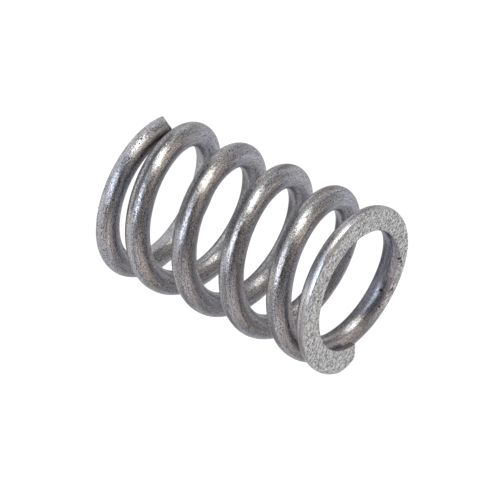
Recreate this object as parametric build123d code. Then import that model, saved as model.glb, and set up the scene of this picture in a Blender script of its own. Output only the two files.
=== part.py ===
"""Small compression spring: one length of round steel wire, cold coiled right-handed.

Both ends are closed, so that the last turn at each end lies on its neighbour, and both
ends are ground flat and square to the coil axis.  The wire is cut square at each tip, and
the outer corner of each tip is dressed round.

Frame: the coil axis is Z, the bottom ground face lies in Z = 0, and the bottom tip starts
on the +X side.  Millimetres.
"""
from build123d import *
import os
from math import asin, cos, degrees, pi, sin

# ---- Driving dimensions -------------------------------------------------------------
wire_diameter = 2.0
mean_coil_diameter = 12.0
free_length = 21.2
total_turns = 5.525

closed_turns = 0.57            # wound at the closing pitch, counted from each tip
opening_turns = 0.19           # over which the pitch then opens up to the active pitch
seat_gap = 0.05                # between a tip and the turn that it closes on

bottom_tip_thickness = 1.27    # wire left at the bottom tip after grinding
top_tip_thickness = 1.09       # wire left at the top tip after grinding
bottom_tip_corner = 0.15       # radius on the outer corner of the bottom tip, in plan
top_tip_corner = 0.8           # radius on the outer corner of the top tip, in plan

stations_per_turn = 17         # points that carry the centreline through one turn
wire_lengths = 16              # surfaces that share the wire, end to end
dressing_margin = 0.1          # that the tip dressing reaches past the wire

# ---- Sizes that follow --------------------------------------------------------------
wire_radius = wire_diameter / 2
coil_radius = mean_coil_diameter / 2
coil_outer_radius = coil_radius + wire_radius
end_rise = wire_diameter + seat_gap                 # of the centreline, over one end turn
bottom_tip_height = bottom_tip_thickness - wire_radius
top_tip_height = free_length - (top_tip_thickness - wire_radius)
centreline_rise = top_tip_height - bottom_tip_height
active_pitch = (centreline_rise - 2 * end_rise) / (total_turns - 2)


def open_winding(turns):
    """Turns' worth of active winding between a tip and a point this many turns along.

    The pitch eases open from 0 (closing) to 1 (active) as 3 s^2 - 2 s^3 of its share s of
    the opening turns, and this is the integral of that.
    """
    share = max((turns - closed_turns) / opening_turns, 0.0)
    ramp = min(share, 1.0)
    return opening_turns * (ramp ** 3 - ramp ** 4 / 2 + max(share - 1.0, 0.0))


# The closing pitch makes one whole end turn rise by exactly end_rise.
closing_pitch = (end_rise - active_pitch * open_winding(1)) / (1 - open_winding(1))


def end_climb(turns):
    """Rise of the centreline from a tip, this many turns along, as if the rest were active."""
    return closing_pitch * turns + (active_pitch - closing_pitch) * open_winding(turns)


def centreline_height(turns):
    """Height of the wire's centre: each half of the coil climbs away from its own tip."""
    if turns <= total_turns / 2:
        return bottom_tip_height + end_climb(turns)
    return top_tip_height - end_climb(total_turns - turns)


def centreline_point(turns):
    """Right-hand turns about Z, starting on +X."""
    angle = 2 * pi * turns
    return (coil_radius * cos(angle), coil_radius * sin(angle), centreline_height(turns))


# ---- The wire -----------------------------------------------------------------------
def wound_wire():
    """Round wire carried along the centreline, cut square at both tips."""
    spans = round(total_turns * stations_per_turn)
    centreline = Spline(*[centreline_point(total_turns * i / spans) for i in range(spans + 1)])
    lengths = [centreline.trim(i / wire_lengths, (i + 1) / wire_lengths)
               for i in range(wire_lengths)]
    section = Plane(origin=centreline @ 0, z_dir=centreline % 0) * Circle(wire_radius)
    return sweep(section, path=Wire(lengths))


def tip_dressing(tip_turns, outside, corner):
    """What is dressed off the outer corner of a tip.

    In plan the rounding is an arc that meets the outside of the coil and the cut face
    smoothly.  outside is -1 at the bottom tip and +1 at the top tip: the way along Z that
    faces out of the spring, and also the way round in which the wire ends.  The dressing
    stops half-way to the turn that the tip lies on.
    """
    tip_angle = 2 * pi * tip_turns
    arc_orbit = coil_outer_radius - corner
    arc_angle = tip_angle - outside * asin(corner / arc_orbit)
    centre = Vector(arc_orbit * cos(arc_angle), arc_orbit * sin(arc_angle))
    outward = Vector(cos(arc_angle), sin(arc_angle))
    past_tip = Vector(-sin(tip_angle), cos(tip_angle)) * outside
    reach = corner + dressing_margin
    tip_edge = Vector(cos(tip_angle), sin(tip_angle)) * (coil_outer_radius + dressing_margin)
    corners = [centre, centre + outward * reach, tip_edge + past_tip * dressing_margin,
               centre + past_tip * reach]
    outline = make_face(Polyline(*corners, close=True)) - Pos(centre) * Circle(corner)
    seat = centreline_height(tip_turns) - outside * (wire_radius + seat_gap / 2)
    return Pos(0, 0, seat) * extrude(outline, outside * wire_diameter)


def coil_spring():
    """The wound wire with its ends ground and its tips dressed."""
    spring = wound_wire()
    spring = split(spring, bisect_by=Plane.XY, keep=Keep.TOP)
    spring = split(spring, bisect_by=Plane.XY.offset(free_length), keep=Keep.BOTTOM)
    spring -= tip_dressing(0, -1, bottom_tip_corner)
    spring -= tip_dressing(total_turns, 1, top_tip_corner)
    return spring


# ---- Output -------------------------------------------------------------------------
os.makedirs("parts", exist_ok=True)
spring = coil_spring()
export_step(spring, "parts/coil_spring.step")

tip_bearing = degrees(2 * pi * total_turns) % 360
print(f"active pitch {active_pitch:.3f} mm, closing pitch {closing_pitch:.3f} mm per turn")
print(f"outside diameter {2 * coil_outer_radius:.2f} mm, top tip at {tip_bearing:.1f} degrees")
print(f"volume {spring.volume:.2f} mm3")
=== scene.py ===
"""The small compression spring as it is seen: one drawn steel wire, coiled, ground flat.

The wire is worked out in millimetres with numpy as a surface of two parameters, the length
along the wire and the way round it, and put into its mesh in metres.  The coil axis is Z
and the spring stands on its bottom ground end.
"""
from math import cos, pi, radians, sin

import bpy
import numpy as np
from mathutils import Matrix, Vector


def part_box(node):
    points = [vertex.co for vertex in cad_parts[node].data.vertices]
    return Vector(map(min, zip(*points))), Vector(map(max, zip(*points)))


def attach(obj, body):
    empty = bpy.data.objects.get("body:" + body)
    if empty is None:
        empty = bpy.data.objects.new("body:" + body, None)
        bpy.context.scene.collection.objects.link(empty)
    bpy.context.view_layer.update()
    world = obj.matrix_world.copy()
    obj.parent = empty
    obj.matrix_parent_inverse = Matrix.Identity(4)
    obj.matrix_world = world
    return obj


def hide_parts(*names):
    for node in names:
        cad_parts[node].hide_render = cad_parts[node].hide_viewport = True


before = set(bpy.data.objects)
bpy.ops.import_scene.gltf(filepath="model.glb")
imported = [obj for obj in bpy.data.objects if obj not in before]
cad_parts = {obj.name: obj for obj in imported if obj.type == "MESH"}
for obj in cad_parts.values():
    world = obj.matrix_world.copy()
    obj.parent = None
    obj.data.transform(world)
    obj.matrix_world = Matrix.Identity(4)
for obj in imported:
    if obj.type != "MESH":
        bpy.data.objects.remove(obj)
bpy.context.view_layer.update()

MM = 0.001

# ---- The spring's sizes, in millimetres and turns, as the part's source gives them ------
wire_radius = 1.0
coil_radius = 6.0
free_length = 21.2
total_turns = 5.525
closed_turns = 0.57
opening_turns = 0.19
seat_gap = 0.05
bottom_tip_thickness = 1.27
top_tip_thickness = 1.09

end_rise = 2 * wire_radius + seat_gap
bottom_tip_height = bottom_tip_thickness - wire_radius
top_tip_height = free_length - (top_tip_thickness - wire_radius)
active_pitch = (top_tip_height - bottom_tip_height - 2 * end_rise) / (total_turns - 2)
turn_length = 2 * pi * coil_radius                 # of wire, in plan
wire_length = turn_length * total_turns
last_turn = turn_length * (total_turns - 1)        # where the last turn starts

# ---- Dressing and wear of the wire, in millimetres, turns and degrees -------------------
edge_round = 0.03              # of the ground edges and of the cut tips

top_corner_length = 1.8        # of the curve that draws in the top tip's outer corner
top_corner_depth = 0.65        # that it draws the corner in by
top_corner_power = 1.6         # of the curve: 1 is a straight slant

shear_out, shear_up = 0.945, 0.667        # slope of the bottom tip's slanting cut
shear_start = 1.015            # where that cut starts, out and up from the wire's centre
shear_past = 0.28              # that the square part of the cut stands past the tip
shear_blend = 0.12             # between the two parts
shear_fade = 1.4               # length of wire over which the cut's slant fades out

sprung_from = 4.0              # turns at which the last turns start to stand out
sprung_out = 0.07
sprung_bearing = 140           # the side on which they stand out

ripple_seed = 7
ripple_waves = 14
ripple_height = 0.0016         # of each wave
ripple_round = 7               # a wave goes round the wire fewer times than this
ripple_along = (0.15, 2.2)     # radians for each millimetre of wire, least and most

shoulder_place = 0.425         # turns from the top tip to the flat's worn shoulder
shoulder_spread = 0.055        # turns
shoulder_blend = 0.5           # how widely the flat's outer edge is worn round there
shoulder_reach = 0.4           # out from the wire's centre to where it is worn in full

flat_depth = 0.002             # what lies this close to a ground plane is all flat
flat_fade = 0.012              # over which the flat's finish then fades out

scuff_start = 0.70             # turns from the top tip to where the flat has run out
scuff_length = 0.22            # turns that the grinding marks run on for
scuff_level = 0.9              # of the flat's finish, where they are strongest
scuff_middle = 100             # degrees round the wire from outside
scuff_half_width = 26          # degrees, less scuff_narrowing at the far end
scuff_narrowing = 8

# ---- Fineness of the mesh ---------------------------------------------------------------
stations = 1000                # rings along the wire
tip_crowding = 0.9             # share by which the rings close up at the tips
tip_crowd = 14                 # rings over which they do
flank_columns = 26             # on the outer and on the inner flank
face_columns = 22              # on the side that faces up and on the side that faces down
least_face = 0.02              # half a face's width where no flat is ground, as an angle
face_ease = 0.6                # height over which a face widens again past the flat

# ---- Marks of handling, and painted sheen: turns along the wire, degrees round it from outside, size in mm --
dark_knocks = ((0.076, 21, 0.11), (0.086, 27, 0.09), (0.121, 29, 0.08), (4.786, 122, 0.20),
               (4.776, 108, 0.18), (4.703, 104, 0.18), (4.692, 155, 0.15), (4.655, 118, 0.10),
               (3.729, 96, 0.12))
bright_chips = ((3.145, 23, 0.17), (3.137, 27, 0.12), (4.703, 97, 0.08), (4.778, 101, 0.08),
                (0.330, 83, 0.08))
rust_spots = ((5.302, 87, 0.24), (5.298, 104, 0.16))
# spots of painted bluish sheen on the outer flanks
sheen_flanks = ((0.155, 3, 2.0), (5.165, 6, 1.8))

# ---- Stretches of wire: millimetres from a tip, or from the start of the last turn ------
bottom_seat_length = (3.0, 6.5)           # darkened by painted shade up to the first, clean past the second
top_seat_length = (3.0, 6.0)
outer_sheen_length = (8.0, 22.0)                 # of the last turn, lighter by painted sheen from the first on
inside_shade_length = (2.0, 6.0, 12.0, 16.0)     # of the last turn, darker and bluer by painted shade: fades in, and out again

# ---- How strongly each pattern lightens and darkens the steel ---------------------------
# the third is how much the painted sheen lightens the outside of the last turn
grain_contrast, streak_contrast, outer_sheen_lightening = 4.4, 1.8, 0.4
stroke_contrast, grit_contrast = 2.6, 3.4
stroke_slant = 35                         # degrees from +X
flat_roughness = 0.55
flat_non_metal = 0.4                      # share of the flats that scatters light
relief_height = 0.02                      # of the bumps, in millimetres

# ---- Colours of the steel, of what lies on it, and of painted shade and sheen -----------
grey_steel = (0.392, 0.380, 0.383, 1)
blue_steel = (0.364, 0.369, 0.402, 1)
brown_oxide = (0.303, 0.278, 0.262, 1)
# painted shade: dark brown where each tip lies on its neighbour
seat_shade_brown = (0.150, 0.105, 0.088, 1)
# painted shade with a bluish reflection, inside the last turn
inside_shade_blue = (0.245, 0.268, 0.345, 1)
# painted bluish sheen on the outer flanks
flank_sheen_blue = (0.315, 0.338, 0.402, 1)
pit_black = (0.050, 0.042, 0.042, 1)
ground_bright = (0.765, 0.800, 0.826, 1)
ground_dull = (0.570, 0.597, 0.616, 1)
ground_oxide = (0.575, 0.592, 0.600, 1)
rust_brown = (0.50, 0.33, 0.21, 1)
knock_black = (0.02, 0.018, 0.018, 1)
chip_bright = (0.85, 0.85, 0.86, 1)
rim_grey = (0.55, 0.55, 0.57, 1.0)

floor_lit = (0.16, 0.16, 0.16, 1.0)       # share of the light on the floor it sends back
floor_white = (1.0, 1.0, 1.0, 1.0)
floor_glow = 0.985


# ---- Shape of the wire ------------------------------------------------------------------
def eased(share):
    """0 below 0, 1 above 1, and 3 s^2 - 2 s^3 between."""
    s = np.clip(share, 0, 1)
    return s * s * (3 - 2 * s)


def lower_of(a, b, blend):
    """The lower of two heights, with the corner between them rounded over the blend.

    That takes off a quarter of the blend times n^2, where n falls from 1 where the heights
    are equal to 0 where they are a blend apart.
    """
    near = np.maximum(blend - np.abs(a - b), 0.0) / blend
    return np.minimum(a, b) - near ** 2 * blend / 4


def open_winding(turns):
    """Turns' worth of active winding from a tip: the integral of an easing 3 s^2 - 2 s^3."""
    share = np.maximum((turns - closed_turns) / opening_turns, 0.0)
    ramp = np.minimum(share, 1.0)
    return opening_turns * (ramp ** 3 - ramp ** 4 / 2 + np.maximum(share - 1.0, 0.0))


def end_climb(turns):
    """Rise from a tip: closing pitch first, active pitch after, one end turn rises end_rise."""
    opened = open_winding(1.0)
    closing_pitch = (end_rise - active_pitch * opened) / (1 - opened)
    return closing_pitch * turns + (active_pitch - closing_pitch) * open_winding(turns)


def centre_height(turns):
    """Height of the wire's centre: each half of the coil climbs away from its own tip."""
    return np.where(turns <= total_turns / 2,
                    bottom_tip_height + end_climb(turns),
                    top_tip_height - end_climb(total_turns - turns))


def station_turns():
    """Turns at each ring: even steps along the wire that shorten to a tenth at both tips."""
    count = np.arange(stations)
    from_tips = np.exp(-count / tip_crowd) + np.exp(-(stations - 1 - count) / tip_crowd)
    step = 1 - tip_crowding * from_tips
    travelled = np.concatenate([[0.0], np.cumsum((step[1:] + step[:-1]) / 2)])
    tip = edge_round / turn_length
    return tip + (total_turns - 2 * tip) * travelled / travelled[-1]


def ground_half_angle(depth):
    """Half the angle round the wire that a cut at this height above its centre takes off:
    the arc cosine of the height over the wire's radius."""
    return np.where(depth < wire_radius, np.arccos(np.clip(depth / wire_radius, -1, 1)), 0.0)


def column_angles(top_cut, bottom_cut):
    """Angles round the wire, from the bottom edge outwards: ring by column.

    Each ring has four groups of columns: outer flank, upward face, inner flank, downward
    face.  A face is as wide as the ground flat, and away from the flats it eases out to
    even spacing, so that the flat's edges always run along a column.
    """
    even = pi * face_columns / (2 * (face_columns + flank_columns))

    def face_half(cut):
        """Half a face's angle: the ground flat's, plus what it widens by past the flat."""
        widened = (even - least_face) * eased((cut - wire_radius) / face_ease)
        return np.maximum(ground_half_angle(cut), least_face) + widened

    up, down = face_half(top_cut)[:, None], face_half(bottom_cut)[:, None]
    flank = (np.arange(flank_columns) / flank_columns)[None, :]
    face = (np.arange(face_columns) / face_columns)[None, :]
    outer = -pi / 2 + down + flank * (pi - up - down)
    above = pi / 2 - up + face * 2 * up
    inner = pi / 2 + up + flank * (pi - up - down)
    below = 3 * pi / 2 - down + face * 2 * down
    return np.concatenate([outer, above, inner, below], axis=1)


def top_tip_reach(to_tip):
    """Share of its reach outwards that the wire keeps beside the dressed top tip.

    The outer corner is drawn in along a long easy curve, a power of the share of its length
    that is left to the tip.
    """
    left = np.clip(1 - to_tip / top_corner_length, 0, None)
    return 1 - top_corner_depth / wire_radius * left ** top_corner_power


def bottom_tip_cut(reach, rise):
    """Length sheared off the bottom tip at a point of the wire's section.

    The higher of two planes: one square to the wire, a little past the tip, and one that
    slants over the outer and upper part.  The edge between them is rounded.
    """
    slant = shear_out * reach + shear_up * rise - shear_start
    return -lower_of(-slant, shear_past + 0 * slant, shear_blend)


def square_cut(reach, rise):
    """Nothing is sheared off a tip that is cut square."""
    return 0 * reach


def wire_ripple(length, angle):
    """Slight unevenness of drawn and coiled wire: a few long seeded waves along and round it."""
    draw = np.random.default_rng(ripple_seed)
    ripple = np.zeros_like(length)
    for _ in range(ripple_waves):
        round_waves = draw.integers(0, ripple_round)
        along = draw.uniform(*ripple_along)
        phase = draw.uniform(0, 2 * pi)
        ripple += np.cos(round_waves * angle + along * length + phase)
    return ripple_height * ripple


def coil_points(turns, reach, rise):
    """Points from turns along the wire, reach outwards and rise along the section's own up.

    A point is the wire's centre, plus reach times the outward direction, plus rise times the
    up direction, which leans back by the lead angle of the coil.  The last turns stand
    out a little on one side, as a coil does where it leaves the arbor.
    """
    bearing = 2 * pi * turns
    step = 1e-4
    climb = centre_height(turns + step) - centre_height(turns - step)
    lead = np.arctan(climb / (2 * step * turn_length))
    outward = np.stack([np.cos(bearing), np.sin(bearing), 0 * bearing], -1)
    up = np.stack([np.sin(bearing) * np.sin(lead), -np.cos(bearing) * np.sin(lead),
                   np.cos(lead)], -1)
    one_sided = 1 + np.cos(bearing - radians(sprung_bearing))
    sprung = eased(turns - sprung_from) * sprung_out * one_sided
    centre = (coil_radius + sprung)[..., None] * outward
    centre[..., 2] += centre_height(turns)
    points = centre + reach[..., None] * outward + rise[..., None] * up
    points[..., 2] = np.clip(points[..., 2], 0, free_length)
    return points


def scuffed(turns, angle):
    """How far the top flat's grinding marks run on past its end, over the top of the wire.

    The product of three easings.  Along the wire, in scuff lengths past the flat's end, the
    marks set in from -1 to -0.75 and fade out from 0.7 to 1.1.  Across it, in half widths of
    a strip that narrows as it goes, they fade out from 0.7 to 1.2.
    """
    past_flat = (total_turns - turns - scuff_start) / scuff_length
    half_width = np.radians(scuff_half_width - scuff_narrowing * np.clip(past_flat, 0, 1))
    off_middle = np.abs(angle - radians(scuff_middle)) / half_width
    run_out, run_in = eased((1.1 - past_flat) / 0.4), eased(4 + past_flat * 4)
    return scuff_level * run_out * run_in * eased((1.2 - off_middle) / 0.5)


def wire_sections():
    """Turns, reach and rise of the wire between its tips, ring by column, with the angle
    round it and how far each point is on a ground flat, from 0 to 1.

    The section is a circle, cut off at the height of each flat.  Its turns are moved on by
    what is sheared off the bottom tip, and its reach is drawn in beside the top tip.
    """
    station = station_turns()
    height = centre_height(station)
    angle = column_angles(free_length - height, height)
    to_bottom = turn_length * station[:, None]
    to_top = turn_length * (total_turns - station[:, None])
    length = to_bottom + 0 * angle
    radius = wire_radius + wire_ripple(length, angle)
    reach, rise = radius * np.cos(angle), radius * np.sin(angle)

    sheared = bottom_tip_cut(reach, rise) * np.clip(1 - to_bottom / shear_fade, 0, 1) ** 2
    turns = station[:, None] + sheared / turn_length
    height = centre_height(turns)
    off_shoulder = (total_turns - turns - shoulder_place) / shoulder_spread
    worn = shoulder_blend * np.exp(-off_shoulder ** 2) * eased(reach / shoulder_reach)
    rise = lower_of(rise, free_length - height, edge_round + worn)
    rise = -lower_of(-rise, height, edge_round)
    below_flat = np.minimum(free_length - height - rise, height + rise)
    ground = 1 - np.clip((below_flat - flat_depth) / flat_fade, 0, 1)
    reach = np.where(reach > 0, reach * top_tip_reach(to_top), reach)
    return turns, reach, rise, angle, np.maximum(ground, scuffed(turns, angle))


# The rings that close a tip: three round its edge, and four on its face.
edge_turned = np.linspace(0, pi / 2, 4)[1:]
face_sizes = [0.8, 0.55, 0.3, 0.1]
tip_sizes = np.concatenate([1 - edge_round * (1 - np.cos(edge_turned)), face_sizes])
tip_steps = np.concatenate([edge_round * np.sin(edge_turned), [edge_round] * len(face_sizes)])


def tip_rings(reach, rise, tip_turns, way_out, cut):
    """Closes a tip: the ring turns in over a small round edge, then shrinks to the middle.

    Each ring is the wire's last one at a smaller size about its middle, moved on along the
    wire by its own step and by what is cut off the tip at each of its points.
    """
    size, out = tip_sizes[:, None], tip_steps[:, None]
    reach = reach.mean() + (reach - reach.mean()) * size
    rise = rise.mean() + (rise - rise.mean()) * size
    length = (out - edge_round) * way_out + cut(reach, rise)
    return tip_turns + length / turn_length, reach, rise


def put_mesh(name, points, quads, caps=(), attributes=()):
    """A mesh object in metres from points in millimetres, with one attribute row per point."""
    mesh = bpy.data.meshes.new(name)
    mesh.from_pydata(points * MM, [], quads.tolist() + list(caps))
    for label, kind, field, values in attributes:
        layer = mesh.attributes.new(label, kind, "POINT")
        layer.data.foreach_set(field, values.astype(np.float32).ravel())
    mesh.polygons.foreach_set("use_smooth", np.ones(len(mesh.polygons), bool))
    mesh.update()
    piece = bpy.data.objects.new(name, mesh)
    bpy.context.collection.objects.link(piece)
    return piece


def coil_wire():
    """The whole spring: rings along the wire, and the rings that close both tips.

    Each point keeps its place on the straightened wire, which is its length along it and the
    cosine and sine of the way round it, and the tips' faces shrink those to the middle.
    """
    turns, reach, rise, angle, ground = wire_sections()
    first = tip_rings(reach[0], rise[0], 0.0, -1, bottom_tip_cut)
    last = tip_rings(reach[-1], rise[-1], total_turns, 1, square_cut)
    turns, reach, rise = (np.concatenate([near[::-1], body, far])
                          for near, body, far in zip(first, (turns, reach, rise), last))
    rings = coil_points(turns, reach, rise)
    closing = len(tip_sizes)
    angle, ground = (np.pad(rows, ((closing, closing), (0, 0)), "edge")
                     for rows in (angle, ground))
    ground[:closing] = ground[-closing:] = 0
    across = np.concatenate([tip_sizes[::-1], np.ones(stations), tip_sizes])[:, None]
    straight = np.stack([turn_length * turns, across * np.cos(angle),
                         across * np.sin(angle)], -1)
    ring_count, columns = rings.shape[:2]
    index = np.arange(ring_count * columns).reshape(ring_count, columns)
    this, ahead = index[:-1], index[1:]
    quads = np.stack([this, ahead, np.roll(ahead, -1, 1), np.roll(this, -1, 1)], -1)
    caps = [index[0].tolist(), index[-1][::-1].tolist()]
    return put_mesh("coil_wire", rings.reshape(-1, 3), quads.reshape(-1, 4), caps, (
        ("straight_wire", "FLOAT_VECTOR", "vector", straight.reshape(-1, 3)),
        ("ground", "FLOAT", "value", ground.ravel())))


# ---- Shader expressions -----------------------------------------------------------------
class Channel:
    """A socket of a shader, on which arithmetic adds Math nodes."""

    def __init__(self, tree, socket):
        self.tree, self.socket = tree, socket

    def node(self, kind, settings=None, out=0, **values):
        return add_node(self.tree, kind, settings, out, **values)

    def maths(self, operation, *values):
        inputs = {f"in{i}": v for i, v in enumerate(values)}
        return self.node("ShaderNodeMath", {"operation": operation}, **inputs)

    def __add__(self, other):
        return self.maths("ADD", self, other)

    __radd__ = __add__

    def __sub__(self, other):
        return self.maths("SUBTRACT", self, other)

    def __rsub__(self, other):
        return self.maths("SUBTRACT", other, self)

    def __mul__(self, other):
        return self.maths("MULTIPLY", self, other)

    __rmul__ = __mul__

    def larger(self, other):
        return self.maths("MAXIMUM", self, other)

    def exponent(self):
        return self.maths("EXPONENT", self)

    def between(self, low, high):
        """0 below low, 1 above high, and eased between them."""
        return self.node("ShaderNodeMapRange", {"interpolation_type": "SMOOTHSTEP"},
                         in0=self, in1=low, in2=high, in3=0.0, in4=1.0)

    def vector(self, operation, other, out=0):
        """Vector Math of this socket and another vector."""
        return self.node("ShaderNodeVectorMath", {"operation": operation}, out,
                         in0=self, in1=other)

    def axis(self, letter):
        """One of a vector's X, Y and Z."""
        return self.node("ShaderNodeSeparateXYZ", None, letter, in0=self)

    def mix(self, first, second):
        """From the first colour to the second by this share."""
        return self.node("ShaderNodeMix", {"data_type": "RGBA"}, 2,
                         in0=self, in6=first, in7=second)


def add_node(tree, kind, settings=None, out=0, **values):
    """Any node: its type, its settings first, then its sockets by name or by in0, in1, ..."""
    node = tree.nodes.new(kind)
    for name, value in (settings or {}).items():
        setattr(node, name, value)
    for name, value in values.items():
        plain = name.startswith("in") and name[2:].isdigit()
        socket = node.inputs[int(name[2:]) if plain else name.replace("_", " ")]
        if isinstance(value, Channel):
            tree.links.new(value.socket, socket)
        else:
            socket.default_value = value
    return Channel(tree, node.outputs[out]) if node.outputs else None


def new_finish(name):
    """An empty material and its node tree."""
    finish = bpy.data.materials.new(name)
    finish.use_nodes = True
    finish.node_tree.nodes.clear()
    return finish, finish.node_tree


def drawn_steel():
    """Dull drawn steel wire, ground bright on its two flats.

    The wire's pattern follows the straightened wire, in millimetres along it: streaks drawn
    along it, fine grain, brown and blue oxide in broad patches, and a few dark pits.  It has
    painted shade, dark brown and streaked, where each tip lies on its neighbour, painted
    shade, darker and bluer, inside the last turn, painted bluish sheen in two spots on the
    outer flanks, and a painted sheen that lightens the outside of the last turn.  The flats
    have a coarse ground grain in plan, of short slanting strokes, and scatter light.  A few
    dark knocks, bright chips and rust spots lie over both.
    """
    finish, tree = new_finish("drawn_steel")
    wire = add_node(tree, "ShaderNodeAttribute", {"attribute_name": "straight_wire"}, "Vector")
    flat = add_node(tree, "ShaderNodeAttribute", {"attribute_name": "ground"}, "Fac")
    place = add_node(tree, "ShaderNodeTexCoord", out="Object")
    slanted = place.node("ShaderNodeMapping", {"vector_type": "POINT"}, in0=place,
                         in2=(0.0, 0.0, radians(stroke_slant)))

    def noise(vector, stretch, detail, rough):
        """Noise with this many grains a unit along each of the vector's axes."""
        return vector.node("ShaderNodeTexNoise", Vector=vector.vector("MULTIPLY", stretch),
                           Scale=1.0, Detail=detail, Roughness=rough)

    def spots(places):
        """Round spots: 1 up to half a spot's size from its place, 0 from 1.1 sizes on."""
        covered = 0.0
        for turns, degrees, size in places:
            at = (turn_length * turns, cos(radians(degrees)), sin(radians(degrees)))
            away = wire.vector("DISTANCE", at, "Value")
            covered = (1 - away.between(size * 0.5, size * 1.1)).larger(covered)
        return covered

    # The drawn wire: where along it and round it, and its patterns.
    along, rise = wire.axis("X"), wire.axis("Z")
    outside = wire.axis("Y").between(-0.4, 0.8)
    inside = 1 - outside
    streak = noise(wire, (0.3, 9.0, 9.0), 3.0, 0.7)
    grain = noise(wire, (18.0, 20.0, 20.0), 0.0, 0.5)
    patch = noise(wire, (0.25, 0.9, 0.9), 3.0, 0.6)
    oxide = noise(wire, (0.8, 1.7, 1.7), 4.0, 0.65)
    pit_cells = wire.node("ShaderNodeTexVoronoi", Scale=1.0,
                          Vector=wire.vector("MULTIPLY", (1.5, 1.9, 1.9)))
    pit_chance = noise(wire, (1.3, 1.9, 1.9), 1.0, 0.55)
    pit = (1 - pit_cells.between(0.06, 0.15)) * pit_chance.between(0.50, 0.56)

    # The ground flats: strokes, grit and duller patches, in metres in plan.
    stroke = noise(slanted, (2300.0, 6500.0, 100.0), 1.0, 0.6)
    grit = noise(slanted, (7000.0, 7000.0, 100.0), 1.0, 0.5)
    dull = noise(slanted, (1500.0, 2200.0, 100.0), 3.0, 0.6)

    # Single stretches of the wire: painted sheen and painted shade on the last turn, and painted
    # shade where each tip lies on its neighbour.
    # painted sheen: lighter on the outside of the last turn
    sheen_from, sheen_to = (last_turn + length for length in outer_sheen_length)
    outer_sheen = along.between(sheen_from, sheen_to) * outside
    # painted shade: darker and bluer inside the last turn
    fade_in, full, fade_out, gone = (last_turn + length for length in inside_shade_length)
    inside_shade = along.between(fade_in, full) * (1 - along.between(fade_out, gone)) * inside
    # painted shade: dark brown streaks where each tip lies on its neighbour, in the crease
    # between turns
    full, gone = bottom_seat_length
    bottom_seat = (1 - along.between(full, gone)) * rise.between(0.72, 0.97)
    full, gone = (wire_length - length for length in top_seat_length)
    top_seat = along.between(gone, full) * rise.between(-0.9, -0.2) * inside
    seat_shade = (bottom_seat + top_seat * 0.4) * (0.1 + streak * 1.1)

    wire_colour = patch.between(0.35, 0.65).mix(grey_steel, blue_steel)
    for share, colour in ((oxide.between(0.50, 0.72) * 0.40, brown_oxide),
                          (seat_shade, seat_shade_brown),
                          # painted shade inside the last turn
                          (inside_shade * 0.60, inside_shade_blue),
                          # painted bluish sheen in two spots on the outer flanks
                          (spots(sheen_flanks) * 0.5, flank_sheen_blue),
                          (pit * 0.85, pit_black)):
        wire_colour = share.mix(wire_colour, colour)
    flat_colour = (dull.between(0.38, 0.62) * 0.8).mix(ground_bright, ground_dull)
    for share, colour in ((oxide.between(0.45, 0.68) * 0.35, ground_oxide),
                          (spots(rust_spots) * 0.6, rust_brown)):
        flat_colour = share.mix(flat_colour, colour)

    def shaded(colour, level):
        """A colour times a level."""
        grey = level.node("ShaderNodeCombineColor", in0=level, in1=level, in2=level)
        return level.node("ShaderNodeMix", {"data_type": "RGBA", "blend_type": "MULTIPLY"}, 2,
                          in0=1.0, in6=colour, in7=grey)

    # the last term lightens the outside of the last turn: painted sheen
    wire_shade = (1 + (grain - 0.5) * grain_contrast + (streak - 0.5) * streak_contrast
                  + outer_sheen * outer_sheen_lightening)
    flat_shade = 1 + (stroke - 0.5) * stroke_contrast + (grit - 0.5) * grit_contrast
    colour = flat.mix(shaded(wire_colour, wire_shade), shaded(flat_colour, flat_shade))
    colour = (spots(dark_knocks) * 0.9).mix(colour, knock_black)
    colour = (spots(bright_chips) * 0.9).mix(colour, chip_bright)

    wire_rough = 0.21 + grain * 0.08 + streak * 0.10
    rough = wire_rough + flat * (flat_roughness - wire_rough)
    wire_relief = grain * 0.40 + streak - pit
    flat_relief = stroke * 0.8 + grit
    relief = wire_relief + flat * (flat_relief - wire_relief)
    bump = relief.node("ShaderNodeBump", Height=relief, Distance=relief_height * MM,
                       Strength=1.0)
    shader = add_node(tree, "ShaderNodeBsdfPrincipled", Base_Color=colour,
                      Metallic=1 - flat * flat_non_metal, Roughness=rough,
                      Specular_Tint=rim_grey, Normal=bump)
    add_node(tree, "ShaderNodeOutputMaterial", Surface=shader)
    return finish


def white_floor():
    """A white floor that keeps a faint shadow: it glows white and is lit a little besides."""
    finish, tree = new_finish("white_floor")
    lit = add_node(tree, "ShaderNodeBsdfDiffuse", Color=floor_lit)
    seen, mirrored, through = (add_node(tree, "ShaderNodeLightPath", out=f"Is {ray} Ray")
                               for ray in ("Camera", "Glossy", "Transmission"))
    white = seen.larger(mirrored).larger(through)
    glow = add_node(tree, "ShaderNodeEmission", Color=floor_white,
                    Strength=white * floor_glow)
    both = add_node(tree, "ShaderNodeAddShader", in0=lit, in1=glow)
    add_node(tree, "ShaderNodeOutputMaterial", Surface=both)
    return finish


def plain_card(name, colour):
    """Plain matt card."""
    finish, tree = new_finish(name)
    matt = add_node(tree, "ShaderNodeBsdfDiffuse", Color=colour)
    add_node(tree, "ShaderNodeOutputMaterial", Surface=matt)
    return finish


# ---- The piece --------------------------------------------------------------------------
spring = coil_wire()
spring.data.materials.append(drawn_steel())
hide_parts("coil_spring")
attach(spring, "root")

# ---- Floor and cards --------------------------------------------------------------------
floor_half = 1500.0
card_lift = 0.2                # above the floor
card_rows, card_steps = 5, 25

corners = np.array([[-1, -1, 0], [1, -1, 0], [1, 1, 0], [-1, 1, 0]]) * floor_half
floor = put_mesh("floor", corners, np.array([[0, 1, 2, 3]]))
floor.data.materials.append(white_floor())


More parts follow.
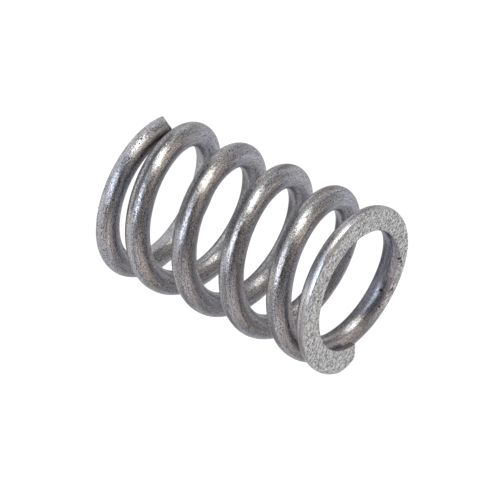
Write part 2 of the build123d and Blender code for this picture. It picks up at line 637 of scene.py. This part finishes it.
def card_on_floor(name, inner, outer, first_bearing, last_bearing):
    """A flat card just above the floor: part of a ring about the coil axis, radius by bearing."""
    radius = np.linspace(inner, outer, card_rows)[:, None]
    bearing = np.radians(np.linspace(first_bearing, last_bearing, card_steps))[None, :]
    points = np.stack([radius * np.cos(bearing), radius * np.sin(bearing),
                       card_lift + 0 * radius * bearing], -1)
    index = np.arange(card_rows * card_steps).reshape(card_rows, card_steps)
    quads = np.stack([index[:-1, :-1], index[1:, :-1], index[1:, 1:], index[:-1, 1:]], -1)
    return put_mesh(name, points.reshape(-1, 3), quads.reshape(-1, 4))


# The steel mirrors the cards as its darker sides: inner and outer radius, and bearings.
for name, place, colour in (
        ("dark_card", (9, 37, -6, 80), (0.24, 0.26, 0.31, 1.0)),
        ("left_grey_card", (20, 75, 97, 185), (0.75, 0.75, 0.76, 1.0)),
        ("right_grey_card", (22, 75, 290, 352), (0.75, 0.75, 0.76, 1.0))):
    card = card_on_floor(name, *place)
    card.data.materials.append(plain_card(name, colour))
    card.visible_camera = card.visible_shadow = False

# ---- Light ------------------------------------------------------------------------------
low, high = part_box("coil_spring")
middle = (Vector(low) + Vector(high)) / 2


def sky_direction(azimuth, elevation):
    """Unit direction from an azimuth from +X and a height above the floor, in degrees."""
    around, above = radians(azimuth), radians(elevation)
    return (cos(above) * cos(around), cos(above) * sin(around), sin(above))


def softbox(name, towards, distance, size, power, colour):
    """A rectangular area lamp that stands this way and this far from the coil's middle."""
    lamp = bpy.data.objects.new(name, bpy.data.lights.new(name, "AREA"))
    lamp.data.shape = "RECTANGLE"
    lamp.data.size, lamp.data.size_y = size[0] * MM, size[1] * MM
    lamp.data.energy = power
    lamp.data.color = colour
    back = Vector(towards).normalized()
    lamp.matrix_world = (Matrix.Translation(middle + back * distance * MM)
                         @ back.to_track_quat("Z", "Y").to_matrix().to_4x4())
    lamp.visible_camera = False
    bpy.context.collection.objects.link(lamp)


softbox("warm_softbox", sky_direction(8, 14), 220, (62, 125), 0.245, (1.0, 0.98, 0.88))
softbox("cool_softbox", sky_direction(69, 0), 140, (95, 29), 0.080, (0.85, 0.90, 1.0))

scene = bpy.context.scene
scene.world = bpy.data.worlds.new("studio")
scene.world.use_nodes = True
studio = scene.world.node_tree
studio.nodes.clear()
direction = add_node(studio, "ShaderNodeTexCoord", out="Generated")
upward = direction.axis("Z")


def pale_glow(azimuth, elevation, tightness):
    """Light from a pale card in the studio: e to the power of tightness times the cosine
    of the angle away from it, less 1."""
    towards = direction.vector("DOT_PRODUCT", sky_direction(azimuth, elevation), "Value")
    return (tightness * towards - tightness).exponent()


def tinted(level, colour):
    """A colour times a level, as a vector."""
    return level.node("ShaderNodeVectorMath", {"operation": "SCALE"}, in0=colour, Scale=level)


# A grey-blue band round the horizon, and pale cards: three bright and one wide and faint.
studio_light = tinted((upward * upward * -25.0).exponent(), (0.34, 0.38, 0.43))
for level, colour in ((pale_glow(150, 35, 6), (1.14, 1.02, 0.965)),
                      (pale_glow(324, 55, 7.5), (1.05, 0.93, 0.83)),
                      (pale_glow(250, 3, 5), (1.15, 1.15, 1.195)),
                      (pale_glow(230, 65, 3), (0.06, 0.055, 0.05))):
    studio_light = studio_light.vector("ADD", tinted(level, colour))
background = add_node(studio, "ShaderNodeBackground", Color=studio_light, Strength=1.0)
add_node(studio, "ShaderNodeOutputWorld", Surface=background)

# ---- Camera -----------------------------------------------------------------------------
camera = bpy.data.objects.new("camera", bpy.data.cameras.new("camera"))
bpy.context.collection.objects.link(camera)
camera_azimuth, camera_elevation, camera_roll = 59.32, 29.53, radians(114.97)
camera_distance = 327.7
aim_right, aim_up = -0.219, -0.670         # of the view's centre from the coil's middle
back = Vector(sky_direction(camera_azimuth, camera_elevation))
level_right = Vector((0, 0, 1)).cross(back).normalized()
level_up = back.cross(level_right)
right = cos(camera_roll) * level_right + sin(camera_roll) * level_up
up = cos(camera_roll) * level_up - sin(camera_roll) * level_right
aim = middle + (aim_right * right + aim_up * up) * MM
stand = Matrix((right, up, back)).transposed().to_4x4()
stand.translation = aim + back * camera_distance * MM
camera.matrix_world = stand
camera.data.sensor_width, camera.data.lens = 36.0, 294.8
camera.data.clip_start, camera.data.clip_end = 0.01, 10.0
scene.camera = camera
scene.view_settings.view_transform = "Standard"
